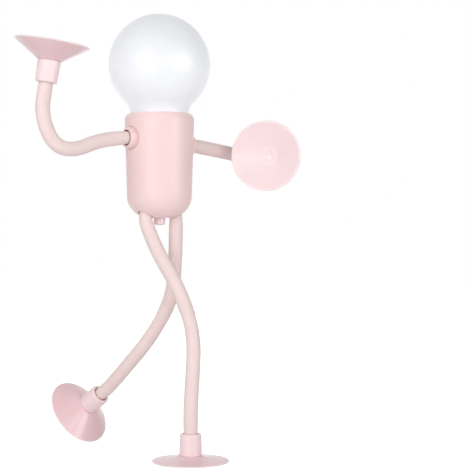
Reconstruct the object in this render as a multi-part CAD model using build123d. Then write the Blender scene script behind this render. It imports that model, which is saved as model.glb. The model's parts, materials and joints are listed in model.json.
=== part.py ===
from build123d import *
import math
import os

# Suction cup lamp: a lamp shaped like a striding figure. A globe on a capsule body, two bendable
# arms and two bendable legs, each ending in a suction cup. Millimetres, +Z up, +X to the right and
# +Y away as the figure is seen from the front, origin in the middle of the standing cup's rim.

# Fits and cuts that serve every piece
FIT = 0.2            # gap round a piece that is pushed into a seat
HOLE_GAP = 0.3       # gap round a sleeve where it enters a hole
BOND_GAP = 0.1       # gap round a bonded end
SCREW_GAP = 0.05     # gap round a screw in its hole
SLIDE_GAP = 0.2      # gap round the button in its hole
OVERRUN = 1.0        # how far a cut runs past the face it opens

# Limbs: a soft sleeve over a bendable core
SLEEVE_R = 4.15
CORE_R = 2.0
CORE_GAP = 0.15
BEND_LIMIT = 60.0     # degrees that a bending place can turn before the sleeves meet
BEND_ROOM = 0.3
EYE_INSET = 0.1       # how much slimmer an eye is than its core
EYE_T = 1.4
SLOT_WIDTH = 1.6
SLOT_ROOM = 0.2
RIVET_R = 0.7
RIVET_GAP = 0.05
CORNER_SHARE = 0.45   # share of the shorter run that an arc may take
STRAIGHT_MARGIN = 0.4
SLEEVE_BORE_R = CORE_R + CORE_GAP
SLEEVE_GAP = SLEEVE_R * math.tan(math.radians(BEND_LIMIT) / 2) + BEND_ROOM
EYE_R = CORE_R - EYE_INSET
LINK_END = EYE_R + STRAIGHT_MARGIN

# Threaded roots of the limbs
STUD_R = 1.45
STUD_HOLE_R = 1.6
STUD_END = 0.6
WASHER_R = 3.5
WASHER_T = 0.5
NUT_FLATS = 5.5
NUT_T = 2.4
NUT_SIDES = 6
WEB = 2.2             # shell left between a sleeve's seat and its washer
BOSS_WALL = 1.6
SLEEVE_HOLE_R = SLEEVE_R + HOLE_GAP
HOLE_BOSS_R = SLEEVE_HOLE_R + BOSS_WALL
ROOT_STACK = WEB + WASHER_T + NUT_T + STUD_END

# Push button, seen from below
BUTTON_R = 3.3
BUTTON_FLANGE = 1.0

# Leg holes in the underside, beside the button
LEG_ROOM = 0.45
LEG_FRONT = 1.5
LEG_SEAT_Z = 6.4
LEG_SIDE = BUTTON_R + BUTTON_FLANGE + LEG_ROOM + HOLE_BOSS_R
LEG_PAD_Z = LEG_SEAT_Z + WEB

# Battery and its cradle
CELL_R = 8.1
CELL_LENGTH = 34.0
CELL_ROUND = 0.6
CELL_NUB_R = 2.8
CELL_NUB_T = 0.8
CELL_HEADROOM = 3.2
CRADLE_FLOOR = 1.4
CRADLE_WALL = 1.4
CRADLE_LIP = 7.0      # how far the cell stands out of its cradle
POST_STANDOFF = 3.3
POST_R = 2.5
EAR_WIDTH = 5.2
CRADLE_SCREW_R = 0.95
CRADLE_SCREW_LENGTH = 6.6
CRADLE_HEAD_R = 1.9
CRADLE_HEAD_T = 1.1
CRADLE_Z = LEG_SEAT_Z + ROOT_STACK + HOLE_GAP
CRADLE_BORE_R = CELL_R + FIT
CRADLE_R = CRADLE_BORE_R + CRADLE_WALL
POST_OFFSET = CRADLE_R + POST_STANDOFF
CELL_Z = CRADLE_Z + CRADLE_FLOOR
CELL_TOP = CELL_Z + CELL_LENGTH
CRADLE_TOP = CELL_TOP - CRADLE_LIP

# Control board on the cradle's back
BOARD_WIDTH = 18.0
BOARD_T = 1.2
BOARD_STANDOFF = 2.7
BOARD_RISE = 3.6
BOARD_DROP = 1.8      # how far the board ends below the cradle's top
BOARD_ROOM = 3.2
BOARD_BOSS_R = 1.8
BOARD_SCREW_R = 0.8
BOARD_SCREW_LENGTH = 4.0
BOARD_HEAD_R = 1.6
BOARD_HEAD_T = 0.9
BOARD_SCREW_SHARES = (0.12, 0.88)
PART_SIZES = ((4.0, 4.0, 1.2), (3.0, 3.0, 0.9), (4.2, 4.2, 1.8), (2.0, 1.25, 0.9), (2.0, 1.25, 0.9))
PART_SHARES = ((-0.29, 0.72), (0.28, 0.72), (-0.28, 0.30), (0.22, 0.38), (0.22, 0.24))
BOARD_Y = CRADLE_R + BOARD_STANDOFF
BOARD_Z = CRADLE_Z + BOARD_RISE
BOARD_TOP = CRADLE_TOP - BOARD_DROP
BOARD_HEIGHT = BOARD_TOP - BOARD_Z
BOARD_BACK = BOARD_Y + BOARD_T
BOARD_MIDDLE = BOARD_Y + BOARD_T / 2

# Body shell, closed round the battery and the board
STAND_HEIGHT = 139.5
BODY_YAW = 34.0
BODY_FLARE = 1.3
BODY_CORNER_R = 13.4
BODY_TOP_FILLET = 4.2
BODY_WALL = 2.4
MOUTH_WALL = 2.9
MOUTH_DEPTH = 11.0
CAVITY_R = BOARD_BACK + BOARD_ROOM
BODY_WAIST_R = CAVITY_R + BODY_WALL
BODY_TOP_R = BODY_WAIST_R + BODY_FLARE
MOUTH_R = BODY_TOP_R - MOUTH_WALL
LEDGE_Z = CELL_TOP + CELL_HEADROOM
BODY_HEIGHT = LEDGE_Z + MOUTH_DEPTH

# Arm bosses, of which the right one sits lower. A side is -1 at the left and 1 at the right.
LEFT_ARM_DROP = 15.2
RIGHT_ARM_DROP = 18.4
ARM_BOSS_PROUD = 4.0
ARM_BOSS_WALL = 1.65
ARM_BOSS_FILLET = 1.0
ARM_BOSS_ROUND = 0.9
ARM_SEAT_DEPTH = 5.2
ARM_BOSS_R = SLEEVE_HOLE_R + ARM_BOSS_WALL
ARM_BOSS_REACH = BODY_WAIST_R + ARM_BOSS_PROUD
ARM_HEIGHTS = {-1: BODY_HEIGHT - LEFT_ARM_DROP, 1: BODY_HEIGHT - RIGHT_ARM_DROP}
ARM_SEAT = ARM_BOSS_REACH - ARM_SEAT_DEPTH
ARM_PAD = ARM_SEAT - WEB
ARM_PAD_R = HOLE_BOSS_R - HOLE_GAP

# Charging socket through the back of the shell
SOCKET_WIDTH = 8.94
SOCKET_HEIGHT = 3.26
SOCKET_RECESS = 0.6
SOCKET_WALL = 0.4
SOCKET_SHARE = 0.40
SOCKET_GAP = 0.25
TONGUE_WIDTH = 6.2
TONGUE_T = 0.7
TONGUE_BACK = 0.9
SOCKET_DEPTH = BOARD_ROOM + BODY_WALL - SOCKET_RECESS

# Globe and the bead that snaps into the mouth
GLOBE_R = 30.0
GLOBE_WALL = 1.8
GLOBE_BLEND_R = 8.0
NECK_RISE = 0.15
BEAD_PROUD = 0.35
BEAD_WIDTH = 1.4
BEAD_DROP = 5.0
NECK_R = MOUTH_R - FIT
BLEND_R = NECK_R + GLOBE_BLEND_R
BLEND_Z = BODY_HEIGHT + NECK_RISE
GLOBE_Z = BLEND_Z + math.sqrt((GLOBE_R + GLOBE_BLEND_R) ** 2 - BLEND_R ** 2)

# Light engine
CARRIER_T = 1.6
CARRIER_R = MOUTH_R - FIT
LED_BOARD_R = 13.0
LED_BOARD_T = 1.2
CHIP_LENGTH = 3.5
CHIP_WIDTH = 2.8
CHIP_T = 0.8
CHIP_COUNT = 6
CHIP_RING_R = 6.5
LED_SCREW_RING_R = 10.6
LED_SCREW_R = 0.9
LED_SCREW_LENGTH = 5.0
LED_HEAD_R = 1.7
LED_HEAD_T = 1.0
LED_BOSS_R = 2.0
LED_BOSS_LENGTH = 2.6

# Collars and suction cups
COLLAR_WALL = 2.05
COLLAR_LENGTH = 12.5
COLLAR_ROUND = 0.8
COLLAR_SOCKET = 4.0
CORE_TAIL = 7.8
STEM_R = 3.4
STEM_LENGTH = 3.8
CUP_RIM_R = 21.2
CUP_RIM_T = 0.7
CUP_LAND = 0.9
CUP_DEPTH = 10.2
CUP_SHOULDER_R = 8.6
CUP_SHOULDER_Z = 8.9
CUP_CROWN_LEDGE = 0.5
CUP_ROOF_R = 8.6
CUP_ROOF_SIDE_Z = 6.3
CUP_ROOF_Z = 8.0
CUP_DIMPLE_R = 4.3
CUP_DIMPLE_DEPTH = 1.2
COLLAR_R = SLEEVE_HOLE_R + COLLAR_WALL
CUP_CROWN_R = COLLAR_R + CUP_CROWN_LEDGE

# The standing cup, pressed flat
PRESSED_RIM_R = 22.2
PRESSED_DEPTH = 3.6
PRESSED_LAND = 9.7
PRESSED_SHOULDER_R = 10.2
PRESSED_SHOULDER_Z = 2.1
PRESSED_ROOF_R = 9.0
PRESSED_ROOF_SIDE_Z = 0.6
PRESSED_ROOF_Z = 0.9
PRESSED_DIMPLE_DEPTH = 0.6

# Height of the push button, and its switch
BUTTON_PROUD = 4.2
BUTTON_ROUND = 0.9
BUTTON_FLANGE_T = 0.9
BUTTON_LIFT = 0.1
BUTTON_TRAVEL = 1.2
SWITCH_SIZE = 6.0
SWITCH_HEIGHT = 3.4
SWITCH_BOARD_SIZE = 8.0
SWITCH_BOARD_T = 1.0
SWITCH_ROOM = 0.2
PLUNGER_R = 1.6
PLUNGER_SUNK = 1.8
PLUNGER_GAP = 0.05
PEG_R = 1.1
PEG_TIP_R = 0.6
PEG_TIP_LENGTH = 1.3
PEG_OFFSET = 2.9
FLANGE_TOP = BODY_WALL + BUTTON_LIFT + BUTTON_FLANGE_T
SWITCH_BOTTOM = FLANGE_TOP + BUTTON_TRAVEL + SWITCH_ROOM
SWITCH_BOARD_BOTTOM = SWITCH_BOTTOM + SWITCH_HEIGHT
SWITCH_BOARD_TOP = SWITCH_BOARD_BOTTOM + SWITCH_BOARD_T

# Leads inside the body
LEAD_R = 0.5
LEAD_BEND_R = 1.6
LEAD_END_GAP = 0.1
LED_LEAD_RING = 9.6
LED_LEAD_SHARE = 0.167      # shares of the board's width
CELL_LEAD_SHARE = 0.356
SWITCH_LEAD_SHARE = 0.267
CELL_LEAD_RISE = 2.4
LED_LEAD_X = BOARD_WIDTH * LED_LEAD_SHARE
CELL_LEAD_X = BOARD_WIDTH * CELL_LEAD_SHARE
SWITCH_LEAD_X = BOARD_WIDTH * SWITCH_LEAD_SHARE

UPRIGHT = (Align.CENTER, Align.CENTER, Align.MIN)

# Poses of the limbs. Corners of each route are shares of the reach, counted from the limb's seat in
# the body: to the right, away from the front, and up. A leg's heights are shares of its whole drop.
ARM_REACH = 50.0
LEG_REACH = 50.0
ARM_ROOT_RUN = 5.6
LEG_ROOT_RUN = 9.0
RAISED_CORNER_SHARES = ((-0.38, -0.27, -0.04), (-0.684, -0.50, -0.18), (-0.899, -0.62, -0.104))
RAISED_RIM_SHARE = (-0.897, -0.65, 1.028)
RAISED_AIM_SHARE = (0.155, 0.0, 0.988)
RAISED_TAIL_RUN = 17.5
OUTSTRETCHED_CORNER_SHARES = (
    (0.47, 0.35, -0.055), (0.84, 0.795, -0.121), (0.975, 0.855, -0.123), (1.115, 0.804, -0.125))
OUTSTRETCHED_RIM_SHARE = (0.973, -0.07, -0.126)
OUTSTRETCHED_AIM_SHARE = (-0.27, -0.963, 0.0)
OUTSTRETCHED_TAIL_RUN = 15.8
STANDING_CORNER_SHARES = (
    (0.138, -0.034, 0.202), (0.397, -0.144, 0.372), (0.566, -0.274, 0.567), (0.538, -0.384, 0.771))
STANDING_RIM_SHARE = (0.517, -0.434)
STANDING_TAIL_RUN = 16.0
TRAILING_CORNER_SHARES = (
    (-0.005, 0.034, 0.258), (-0.046, 0.084, 0.48), (-0.30, 0.18, 0.677), (-0.543, 0.34, 0.81))
TRAILING_RIM_SHARE = (-1.213, 0.937)
TRAILING_AIM_SHARE = (-0.636, 0.515, -0.574)
TRAILING_TAIL_RUN = 9.0


def lathe(*edges):
    """Turn a closed outline, drawn as radius and height, about the upright axis."""
    return revolve(Plane.XZ * make_face(Curve() + list(edges)), Axis.Z)


def rod(radius, bottom, top, x=0, y=0):
    """A round bar standing between two heights."""
    return Pos(x, y, bottom) * Cylinder(radius, top - bottom, align=UPRIGHT)


def ring(outer, inner, bottom, top, x=0, y=0):
    """A round bar with a bore."""
    return rod(outer, bottom, top, x, y) - rod(inner, bottom - OVERRUN, top + OVERRUN, x, y)


def slab(width, depth, bottom, top, x=0, y=0):
    """A box standing between two heights."""
    return Pos(x, y, bottom) * Box(width, depth, top - bottom, align=UPRIGHT)


def along(point, direction):
    """A place whose upright axis points along a direction."""
    return Plane(origin=point, z_dir=direction).location


def screw(shaft_r, length, head_r, head_t):
    """A pan head screw pointing down, with the underside of its head at the origin."""
    head = fillet(rod(head_r, 0, head_t).edges().group_by(Axis.Z)[-1], head_t / 2)
    return head + rod(shaft_r, -length, head_t / 2)


class Knuckle:
    """A place where a limb bends: its point, the way along the limb and the hinge axis."""

    def __init__(self, point, tangent, lean):
        self.point = point
        self.tangent = tangent
        self.axis = (lean - tangent * tangent.dot(lean)).normalized()
        self.place = Plane(origin=point, x_dir=tangent, z_dir=self.axis).location


class Limb:
    """A bendable limb: its route of straight runs and arcs, its knuckles and its end collar."""

    def __init__(self, name, seat, out, root_run, corners, tail_run, rim, aim, cup_depth, runs, leans):
        self.name = name
        self.seat = seat
        self.out = out
        self.rim = rim
        self.aim = aim.normalized()
        self.mouth = rim - self.aim * (cup_depth + COLLAR_LENGTH)
        self.cup_depth = cup_depth
        tail = self.mouth - self.aim * tail_run
        self.points = [seat, seat + out * root_run, *corners, tail, self.mouth]
        self.runs = runs
        self.knuckles = [self.knuckle(run, lean) for run, lean in zip(runs, leans)]
        self.radii = [self.corner_radius(i) for i in range(1, len(self.points) - 1)]

    def span(self, run):
        return self.points[run + 1] - self.points[run]

    def knuckle(self, run, lean):
        return Knuckle(self.points[run] + self.span(run) / 2, self.span(run).normalized(), lean)

    def room(self, run):
        """How much of a run the arc at one of its ends may take."""
        length = self.span(run).length
        if run in self.runs:
            return min(length * CORNER_SHARE, length / 2 - SLEEVE_GAP - STRAIGHT_MARGIN)
        return length * CORNER_SHARE

    def corner_radius(self, i):
        turn = math.radians(self.span(i - 1).get_angle(self.span(i)))
        return min(self.room(i - 1), self.room(i)) / math.tan(turn / 2)

    def path(self, link, trim, tail=0):
        """The centre line of one link, trimmed back from its knuckles, with a tail in the collar."""
        if link == 0:
            first, start = 1, self.seat
        else:
            before = self.knuckles[link - 1]
            first, start = self.runs[link - 1] + 1, before.point + before.tangent * trim
        if link == len(self.knuckles):
            last, end = len(self.points) - 2, self.mouth + self.aim * tail
        else:
            after = self.knuckles[link]
            last, end = self.runs[link], after.point - after.tangent * trim
        corners = self.points[first:last + 1]
        if not corners:
            return Line(start, end)
        return FilletPolyline(start, *corners, end, radius=self.radii[first - 1:last])

    def cup_place(self):
        return along(self.rim, -self.aim)


def tube(path, outer):
    """A round bar along a path."""
    return sweep(Plane(origin=path @ 0, z_dir=path % 0) * Circle(outer), path=path)


def sleeve(limb, link):
    """The soft cover of one link, open at both ends."""
    path = limb.path(link, SLEEVE_GAP, COLLAR_SOCKET)
    return tube(path, SLEEVE_R) - tube(path, SLEEVE_BORE_R)


def fork():
    """The two cheeks and the rivet at the far end of a core link, with the rivet at the origin."""
    back = LINK_END + STRAIGHT_MARGIN
    blank = Rot(0, 90, 0) * rod(EYE_R, -back, EYE_R)
    nose = rod(EYE_R, -CORE_R, CORE_R) + Pos(-back / 2, 0, 0) * Box(back, 2 * CORE_R, 2 * CORE_R)
    slot_floor = EYE_R + SLOT_ROOM
    slot_length = slot_floor + EYE_R + OVERRUN
    slot = Pos(slot_length / 2 - slot_floor, 0, 0) * Box(slot_length, 2 * CORE_R + OVERRUN, SLOT_WIDTH)
    rivet_half = (EYE_R + SLOT_WIDTH / 2) / 2
    return (blank & nose) - slot + rod(RIVET_R, -rivet_half, rivet_half)


def eye():
    """The tongue with a bored eye at the near end of a core link, with the bore at the origin."""
    reach = LINK_END + STRAIGHT_MARGIN
    tongue = Pos(reach / 2, 0, 0) * Box(reach, 2 * EYE_R, EYE_T)
    tongue &= Rot(0, 90, 0) * rod(EYE_R, 0, reach)
    bore = rod(RIVET_R + RIVET_GAP, -EYE_T, EYE_T)
    return tongue + rod(EYE_R, -EYE_T / 2, EYE_T / 2) - bore


def core(limb, link):
    """The bendable core inside one link."""
    bar = tube(limb.path(link, LINK_END, CORE_TAIL), CORE_R)
    if link == 0:
        bar += along(limb.seat, limb.out) * rod(STUD_R, -ROOT_STACK, CORE_R)
    else:
        bar += limb.knuckles[link - 1].place * eye()
    if link < len(limb.knuckles):
        bar += limb.knuckles[link].place * fork()
    return bar


def washer():
    """The washer on the inside of the shell, with the sleeve's seat at the origin."""
    return ring(WASHER_R, STUD_HOLE_R, -WEB - WASHER_T, -WEB)


def nut():
    """The nut that holds a limb's stud, with the sleeve's seat at the origin."""
    top = -WEB - WASHER_T
    prism = extrude(RegularPolygon(NUT_FLATS / 2, NUT_SIDES, major_radius=False), NUT_T)
    return Pos(0, 0, top - NUT_T) * prism - rod(STUD_R + SCREW_GAP, top - NUT_T - OVERRUN, top + OVERRUN)


def collar(limb):
    """The hard ring between a sleeve and its cup."""
    low = limb.cup_depth
    high = low + COLLAR_LENGTH
    body = fillet(rod(COLLAR_R, low, high).edges().group_by(Axis.Z)[-1], COLLAR_ROUND)
    body -= rod(SLEEVE_HOLE_R, high - COLLAR_SOCKET, high + OVERRUN)
    body -= rod(CORE_R + BOND_GAP, high - CORE_TAIL - BOND_GAP, high)
    body -= rod(STEM_R + BOND_GAP, low - OVERRUN, low + STEM_LENGTH + BOND_GAP)
    return limb.cup_place() * body


def cup_outline(rim_r, land, depth, shoulder, roof_side, roof_z, dimple_depth):
    """Half the section of a suction cup: cone, crown and stem outside, cone, roof and dimple inside."""
    rim_top = (rim_r, CUP_RIM_T)
    slope = Vector(*shoulder) - Vector(*rim_top)
    crown = (CUP_CROWN_R, depth)
    rise = Vector(roof_side[0] - rim_r + land, roof_side[1])
    roof = (CUP_DIMPLE_R, roof_z)
    stem_top = depth + STEM_LENGTH
    peak = (0, roof_z + dimple_depth)
    return [
        Line((rim_r, 0), rim_top),
        Line(rim_top, shoulder),
        TangentArc(shoulder, crown, tangent=slope),
        Polyline(crown, (STEM_R, depth), (STEM_R, stem_top), (0, stem_top), peak),
        RadiusArc(peak, roof, (CUP_DIMPLE_R ** 2 + dimple_depth ** 2) / (2 * dimple_depth)),
        TangentArc(roof_side, roof, tangent=rise),
        Polyline(roof_side, (rim_r - land, 0), (rim_r, 0)),
    ]


def free_cup(limb):
    """A suction cup that touches nothing yet."""
    outline = cup_outline(
        CUP_RIM_R, CUP_LAND, CUP_DEPTH, (CUP_SHOULDER_R, CUP_SHOULDER_Z),
        (CUP_ROOF_R, CUP_ROOF_SIDE_Z), CUP_ROOF_Z, CUP_DIMPLE_DEPTH)
    return limb.cup_place() * lathe(*outline)


def pressed_cup(limb):
    """The standing foot's cup, flat on the table under the figure's weight."""
    outline = cup_outline(
        PRESSED_RIM_R, PRESSED_LAND, PRESSED_DEPTH, (PRESSED_SHOULDER_R, PRESSED_SHOULDER_Z),
        (PRESSED_ROOF_R, PRESSED_ROOF_SIDE_Z), PRESSED_ROOF_Z, PRESSED_DIMPLE_DEPTH)
    return limb.cup_place() * lathe(*outline)


def shell_envelope():
    """The outside of the body: a capsule with a wide round underside and a soft top edge."""
    flat_r = BODY_WAIST_R - BODY_CORNER_R
    side_top = BODY_HEIGHT - BODY_TOP_FILLET
    return lathe(
        Line((0, BODY_HEIGHT), (0, 0)),
        Line((0, 0), (flat_r, 0)),
        CenterArc((flat_r, BODY_CORNER_R), BODY_CORNER_R, -90, 90),
        Line((BODY_WAIST_R, BODY_CORNER_R), (BODY_TOP_R, side_top)),
        CenterArc((BODY_TOP_R - BODY_TOP_FILLET, side_top), BODY_TOP_FILLET, 0, 90),
        Line((BODY_TOP_R - BODY_TOP_FILLET, BODY_HEIGHT), (0, BODY_HEIGHT)))


def shell_cavity():
    """The hollow of the body below the globe's seat."""
    flat_r = BODY_WAIST_R - BODY_CORNER_R
    return lathe(
        Line((0, LEDGE_Z), (0, BODY_WALL)),
        Line((0, BODY_WALL), (flat_r, BODY_WALL)),
        CenterArc((flat_r, BODY_CORNER_R), BODY_CORNER_R - BODY_WALL, -90, 90),
        Line((CAVITY_R, BODY_CORNER_R), (CAVITY_R, LEDGE_Z)),
        Line((CAVITY_R, LEDGE_Z), (0, LEDGE_Z)))


def socket_outline(margin):
    """The rounded outline of the charging socket, with a margin all round."""
    height = SOCKET_HEIGHT + 2 * margin
    return SlotOverall(SOCKET_WIDTH + 2 * margin, height)


def socket_place(y):
    """Where the socket's outline stands, facing the back."""
    return Pos(0, y, BOARD_Z + BOARD_HEIGHT * SOCKET_SHARE) * Rot(-90, 0, 0)


def arm_place(side):
    """Where an arm's boss and hole start from, on the body's axis and pointing out to one side."""
    return Pos(0, 0, ARM_HEIGHTS[side]) * Rot(0, side * 90, 0)


def body_shell():
    boss = rod(ARM_BOSS_R, 0, ARM_BOSS_REACH)
    boss = fillet(boss.edges().group_by(Axis.Z)[-1], ARM_BOSS_ROUND)
    outside = shell_envelope() + arm_place(-1) * boss + arm_place(1) * boss
    roots = [e for e in outside.edges() if is_boss_root(e)]
    outside = fillet(roots, ARM_BOSS_FILLET)
    hollow = shell_cavity() + rod(MOUTH_R, LEDGE_Z, BODY_HEIGHT + OVERRUN)
    groove_z = BODY_HEIGHT - BEAD_DROP
    groove_half = BEAD_WIDTH / 2 + FIT
    hollow += rod(NECK_R + BEAD_PROUD + FIT, groove_z - groove_half, groove_z + groove_half)
    for side in (-1, 1):
        pad = arm_place(side) * rod(ARM_PAD_R, ARM_PAD, BODY_WAIST_R)
        hollow -= pad & rod(CAVITY_R + BODY_WALL / 2, 0, LEDGE_Z)
        hollow -= rod(HOLE_BOSS_R, 0, LEG_PAD_Z, side * LEG_SIDE, -LEG_FRONT)
        hollow -= rod(POST_R, 0, CRADLE_Z, 0, side * POST_OFFSET)
    shell = outside - hollow - rod(BUTTON_R + SLIDE_GAP, -OVERRUN, BODY_WALL + OVERRUN)
    for side in (-1, 1):
        arm_hole = rod(SLEEVE_HOLE_R, ARM_SEAT, ARM_BOSS_REACH + OVERRUN)
        arm_hole += rod(STUD_HOLE_R, ARM_PAD - OVERRUN, ARM_SEAT + OVERRUN)
        shell -= arm_place(side) * arm_hole
        shell -= rod(SLEEVE_HOLE_R, -OVERRUN, LEG_SEAT_Z, side * LEG_SIDE, -LEG_FRONT)
        shell -= rod(STUD_HOLE_R, LEG_SEAT_Z - OVERRUN, LEG_PAD_Z + OVERRUN, side * LEG_SIDE, -LEG_FRONT)
        thread_bottom = CRADLE_Z + CRADLE_FLOOR - CRADLE_SCREW_LENGTH - FIT
        shell -= rod(CRADLE_SCREW_R + SCREW_GAP, thread_bottom, CRADLE_Z + OVERRUN, 0, side * POST_OFFSET)
    slot = extrude(socket_outline(SOCKET_GAP), BODY_TOP_R)
    return shell - socket_place(BOARD_BACK) * slot


def is_boss_root(edge):
    """True for the edges where the arm bosses grow out of the body's side."""
    box = edge.bounding_box()
    middle = box.center()
    inside = max(abs(box.min.X), abs(box.max.X)) < ARM_BOSS_REACH - ARM_BOSS_ROUND - FIT
    apart = min(abs(box.min.X), abs(box.max.X)) > ARM_BOSS_R
    height = ARM_HEIGHTS[1 if middle.X > 0 else -1]
    beside = abs(middle.Z - height) < ARM_BOSS_R and box.size.Z < 2 * ARM_BOSS_R + FIT
    return inside and apart and beside


def globe_diffuser():
    lean = math.degrees(math.atan2(GLOBE_Z - BLEND_Z, -BLEND_R))
    foot = LEDGE_Z + CARRIER_T
    neck_in = NECK_R - GLOBE_WALL

    def half(globe_r, neck_r, bend_r, bottom):
        swing = lean - 180
        return lathe(
            Line((0, bottom), (neck_r, bottom)),
            Line((neck_r, bottom), (neck_r, BLEND_Z)),
            CenterArc((BLEND_R, BLEND_Z), bend_r, 180, swing),
            CenterArc((0, GLOBE_Z), globe_r, swing, 90 - swing),
            Line((0, GLOBE_Z + globe_r), (0, bottom)))

    bead_z = BODY_HEIGHT - BEAD_DROP
    outside = half(GLOBE_R, NECK_R, GLOBE_BLEND_R, foot)
    outside += rod(NECK_R + BEAD_PROUD, bead_z - BEAD_WIDTH / 2, bead_z + BEAD_WIDTH / 2)
    return outside - half(GLOBE_R - GLOBE_WALL, neck_in, GLOBE_BLEND_R + GLOBE_WALL, foot - OVERRUN)


def led_places():
    """The two screws of the light board, at the front and the back."""
    return [(0, side * LED_SCREW_RING_R) for side in (-1, 1)]


def led_carrier():
    plate = rod(CARRIER_R, LEDGE_Z, LEDGE_Z + CARRIER_T)
    for x, y in led_places():
        plate += rod(LED_BOSS_R, LEDGE_Z - LED_BOSS_LENGTH, LEDGE_Z, x, y)
    for x, y in led_places():
        plate -= rod(LED_SCREW_R + SCREW_GAP, LEDGE_Z - LED_BOSS_LENGTH - OVERRUN, BODY_HEIGHT, x, y)
    for side in (-1, 1):
        plate -= rod(LEAD_R + FIT, LEDGE_Z - OVERRUN, BODY_HEIGHT, side * LED_LEAD_X, LED_LEAD_RING)
    return plate


def led_board():
    low = LEDGE_Z + CARRIER_T
    plate = rod(LED_BOARD_R, low, low + LED_BOARD_T)
    for x, y in led_places():
        plate -= rod(LED_SCREW_R + SCREW_GAP, low - OVERRUN, low + LED_BOARD_T + OVERRUN, x, y)
    return plate


def led_chips():
    low = LEDGE_Z + CARRIER_T + LED_BOARD_T
    chip = slab(CHIP_WIDTH, CHIP_LENGTH, low, low + CHIP_T, CHIP_RING_R)
    return [Rot(0, 0, 360 * i / CHIP_COUNT) * chip for i in range(CHIP_COUNT)]


def led_screws():
    top = LEDGE_Z + CARRIER_T + LED_BOARD_T
    one = screw(LED_SCREW_R, LED_SCREW_LENGTH, LED_HEAD_R, LED_HEAD_T)
    return [Pos(x, y, top) * one for x, y in led_places()]


def battery_cell():
    can = rod(CELL_R, CELL_Z, CELL_TOP)
    can = fillet(can.edges().filter_by(GeomType.CIRCLE), CELL_ROUND)
    return can + rod(CELL_NUB_R, CELL_TOP, CELL_TOP + CELL_NUB_T)


def board_screw_heights():
    return [BOARD_Z + BOARD_HEIGHT * share for share in BOARD_SCREW_SHARES]


def battery_cradle():
    ear_length = 2 * (POST_OFFSET + POST_R)
    frame = rod(CRADLE_R, CRADLE_Z, CRADLE_TOP)
    frame += slab(EAR_WIDTH, ear_length, CRADLE_Z, CELL_Z) & rod(POST_OFFSET + POST_R, CRADLE_Z, CELL_Z)
    for z in board_screw_heights():
        frame += Pos(0, 0, z) * Rot(-90, 0, 0) * rod(BOARD_BOSS_R, 0, BOARD_Y)
    frame -= rod(CRADLE_BORE_R, CELL_Z, CRADLE_TOP + OVERRUN)
    for z in board_screw_heights():
        pilot = rod(BOARD_SCREW_R + SCREW_GAP, CRADLE_BORE_R - FIT, BOARD_Y + OVERRUN)
        frame -= Pos(0, 0, z) * Rot(-90, 0, 0) * pilot
    for side in (-1, 1):
        screw_hole = rod(CRADLE_SCREW_R + SCREW_GAP, CRADLE_Z - OVERRUN, CELL_Z + OVERRUN)
        peg = rod(PEG_R, SWITCH_BOARD_TOP, CRADLE_Z)
        peg += rod(PEG_TIP_R, SWITCH_BOARD_TOP - PEG_TIP_LENGTH, CRADLE_Z)
        frame -= Pos(0, side * POST_OFFSET, 0) * screw_hole
        frame += Pos(side * PEG_OFFSET, side * PEG_OFFSET, 0) * peg
    return frame


def cradle_screws():
    one = screw(CRADLE_SCREW_R, CRADLE_SCREW_LENGTH, CRADLE_HEAD_R, CRADLE_HEAD_T)
    return [Pos(0, side * POST_OFFSET, CELL_Z) * one for side in (-1, 1)]


def control_board():
    plate = slab(BOARD_WIDTH, BOARD_T, BOARD_Z, BOARD_TOP, 0, BOARD_MIDDLE)
    for z in board_screw_heights():
        hole = rod(BOARD_SCREW_R + SCREW_GAP, BOARD_Y - OVERRUN, BOARD_BACK + OVERRUN)
        plate -= Pos(0, 0, z) * Rot(-90, 0, 0) * hole
    return plate


def board_components():
    pieces = []
    for (width, height, thick), (across, up) in zip(PART_SIZES, PART_SHARES):
        x = BOARD_WIDTH * across
        z = BOARD_Z + BOARD_HEIGHT * up
        pieces.append(Pos(x, BOARD_Y - thick / 2, z) * Box(width, thick, height))
    return pieces


def board_screws():
    one = screw(BOARD_SCREW_R, BOARD_SCREW_LENGTH, BOARD_HEAD_R, BOARD_HEAD_T)
    return [Pos(0, BOARD_BACK, z) * Rot(-90, 0, 0) * one for z in board_screw_heights()]


def usb_socket():
    can = extrude(socket_outline(0), SOCKET_DEPTH)
    can -= Pos(0, 0, TONGUE_BACK) * extrude(socket_outline(-SOCKET_WALL), SOCKET_DEPTH)
    tongue = Pos(0, 0, SOCKET_DEPTH / 2) * Box(TONGUE_WIDTH, TONGUE_T, SOCKET_DEPTH - TONGUE_BACK)
    return socket_place(BOARD_BACK) * (can + tongue)


def button_cap():
    cap = rod(BUTTON_R, -BUTTON_PROUD, FLANGE_TOP)
    cap = fillet(cap.edges().group_by(Axis.Z)[0], BUTTON_ROUND)
    return cap + rod(BUTTON_R + BUTTON_FLANGE, FLANGE_TOP - BUTTON_FLANGE_T, FLANGE_TOP)


def switch_plunger():
    return rod(PLUNGER_R, FLANGE_TOP, SWITCH_BOTTOM + PLUNGER_SUNK)


def switch_body():
    can = slab(SWITCH_SIZE, SWITCH_SIZE, SWITCH_BOTTOM, SWITCH_BOARD_BOTTOM)
    well_top = SWITCH_BOTTOM + PLUNGER_SUNK + BUTTON_TRAVEL + SWITCH_ROOM
    can -= rod(PLUNGER_R + PLUNGER_GAP, SWITCH_BOTTOM - OVERRUN, well_top)
    for side in (-1, 1):
        tip_bottom = SWITCH_BOARD_TOP - PEG_TIP_LENGTH - FIT
        can -= rod(PEG_TIP_R + FIT, tip_bottom, SWITCH_BOARD_TOP, side * PEG_OFFSET, side * PEG_OFFSET)
    return can


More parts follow.
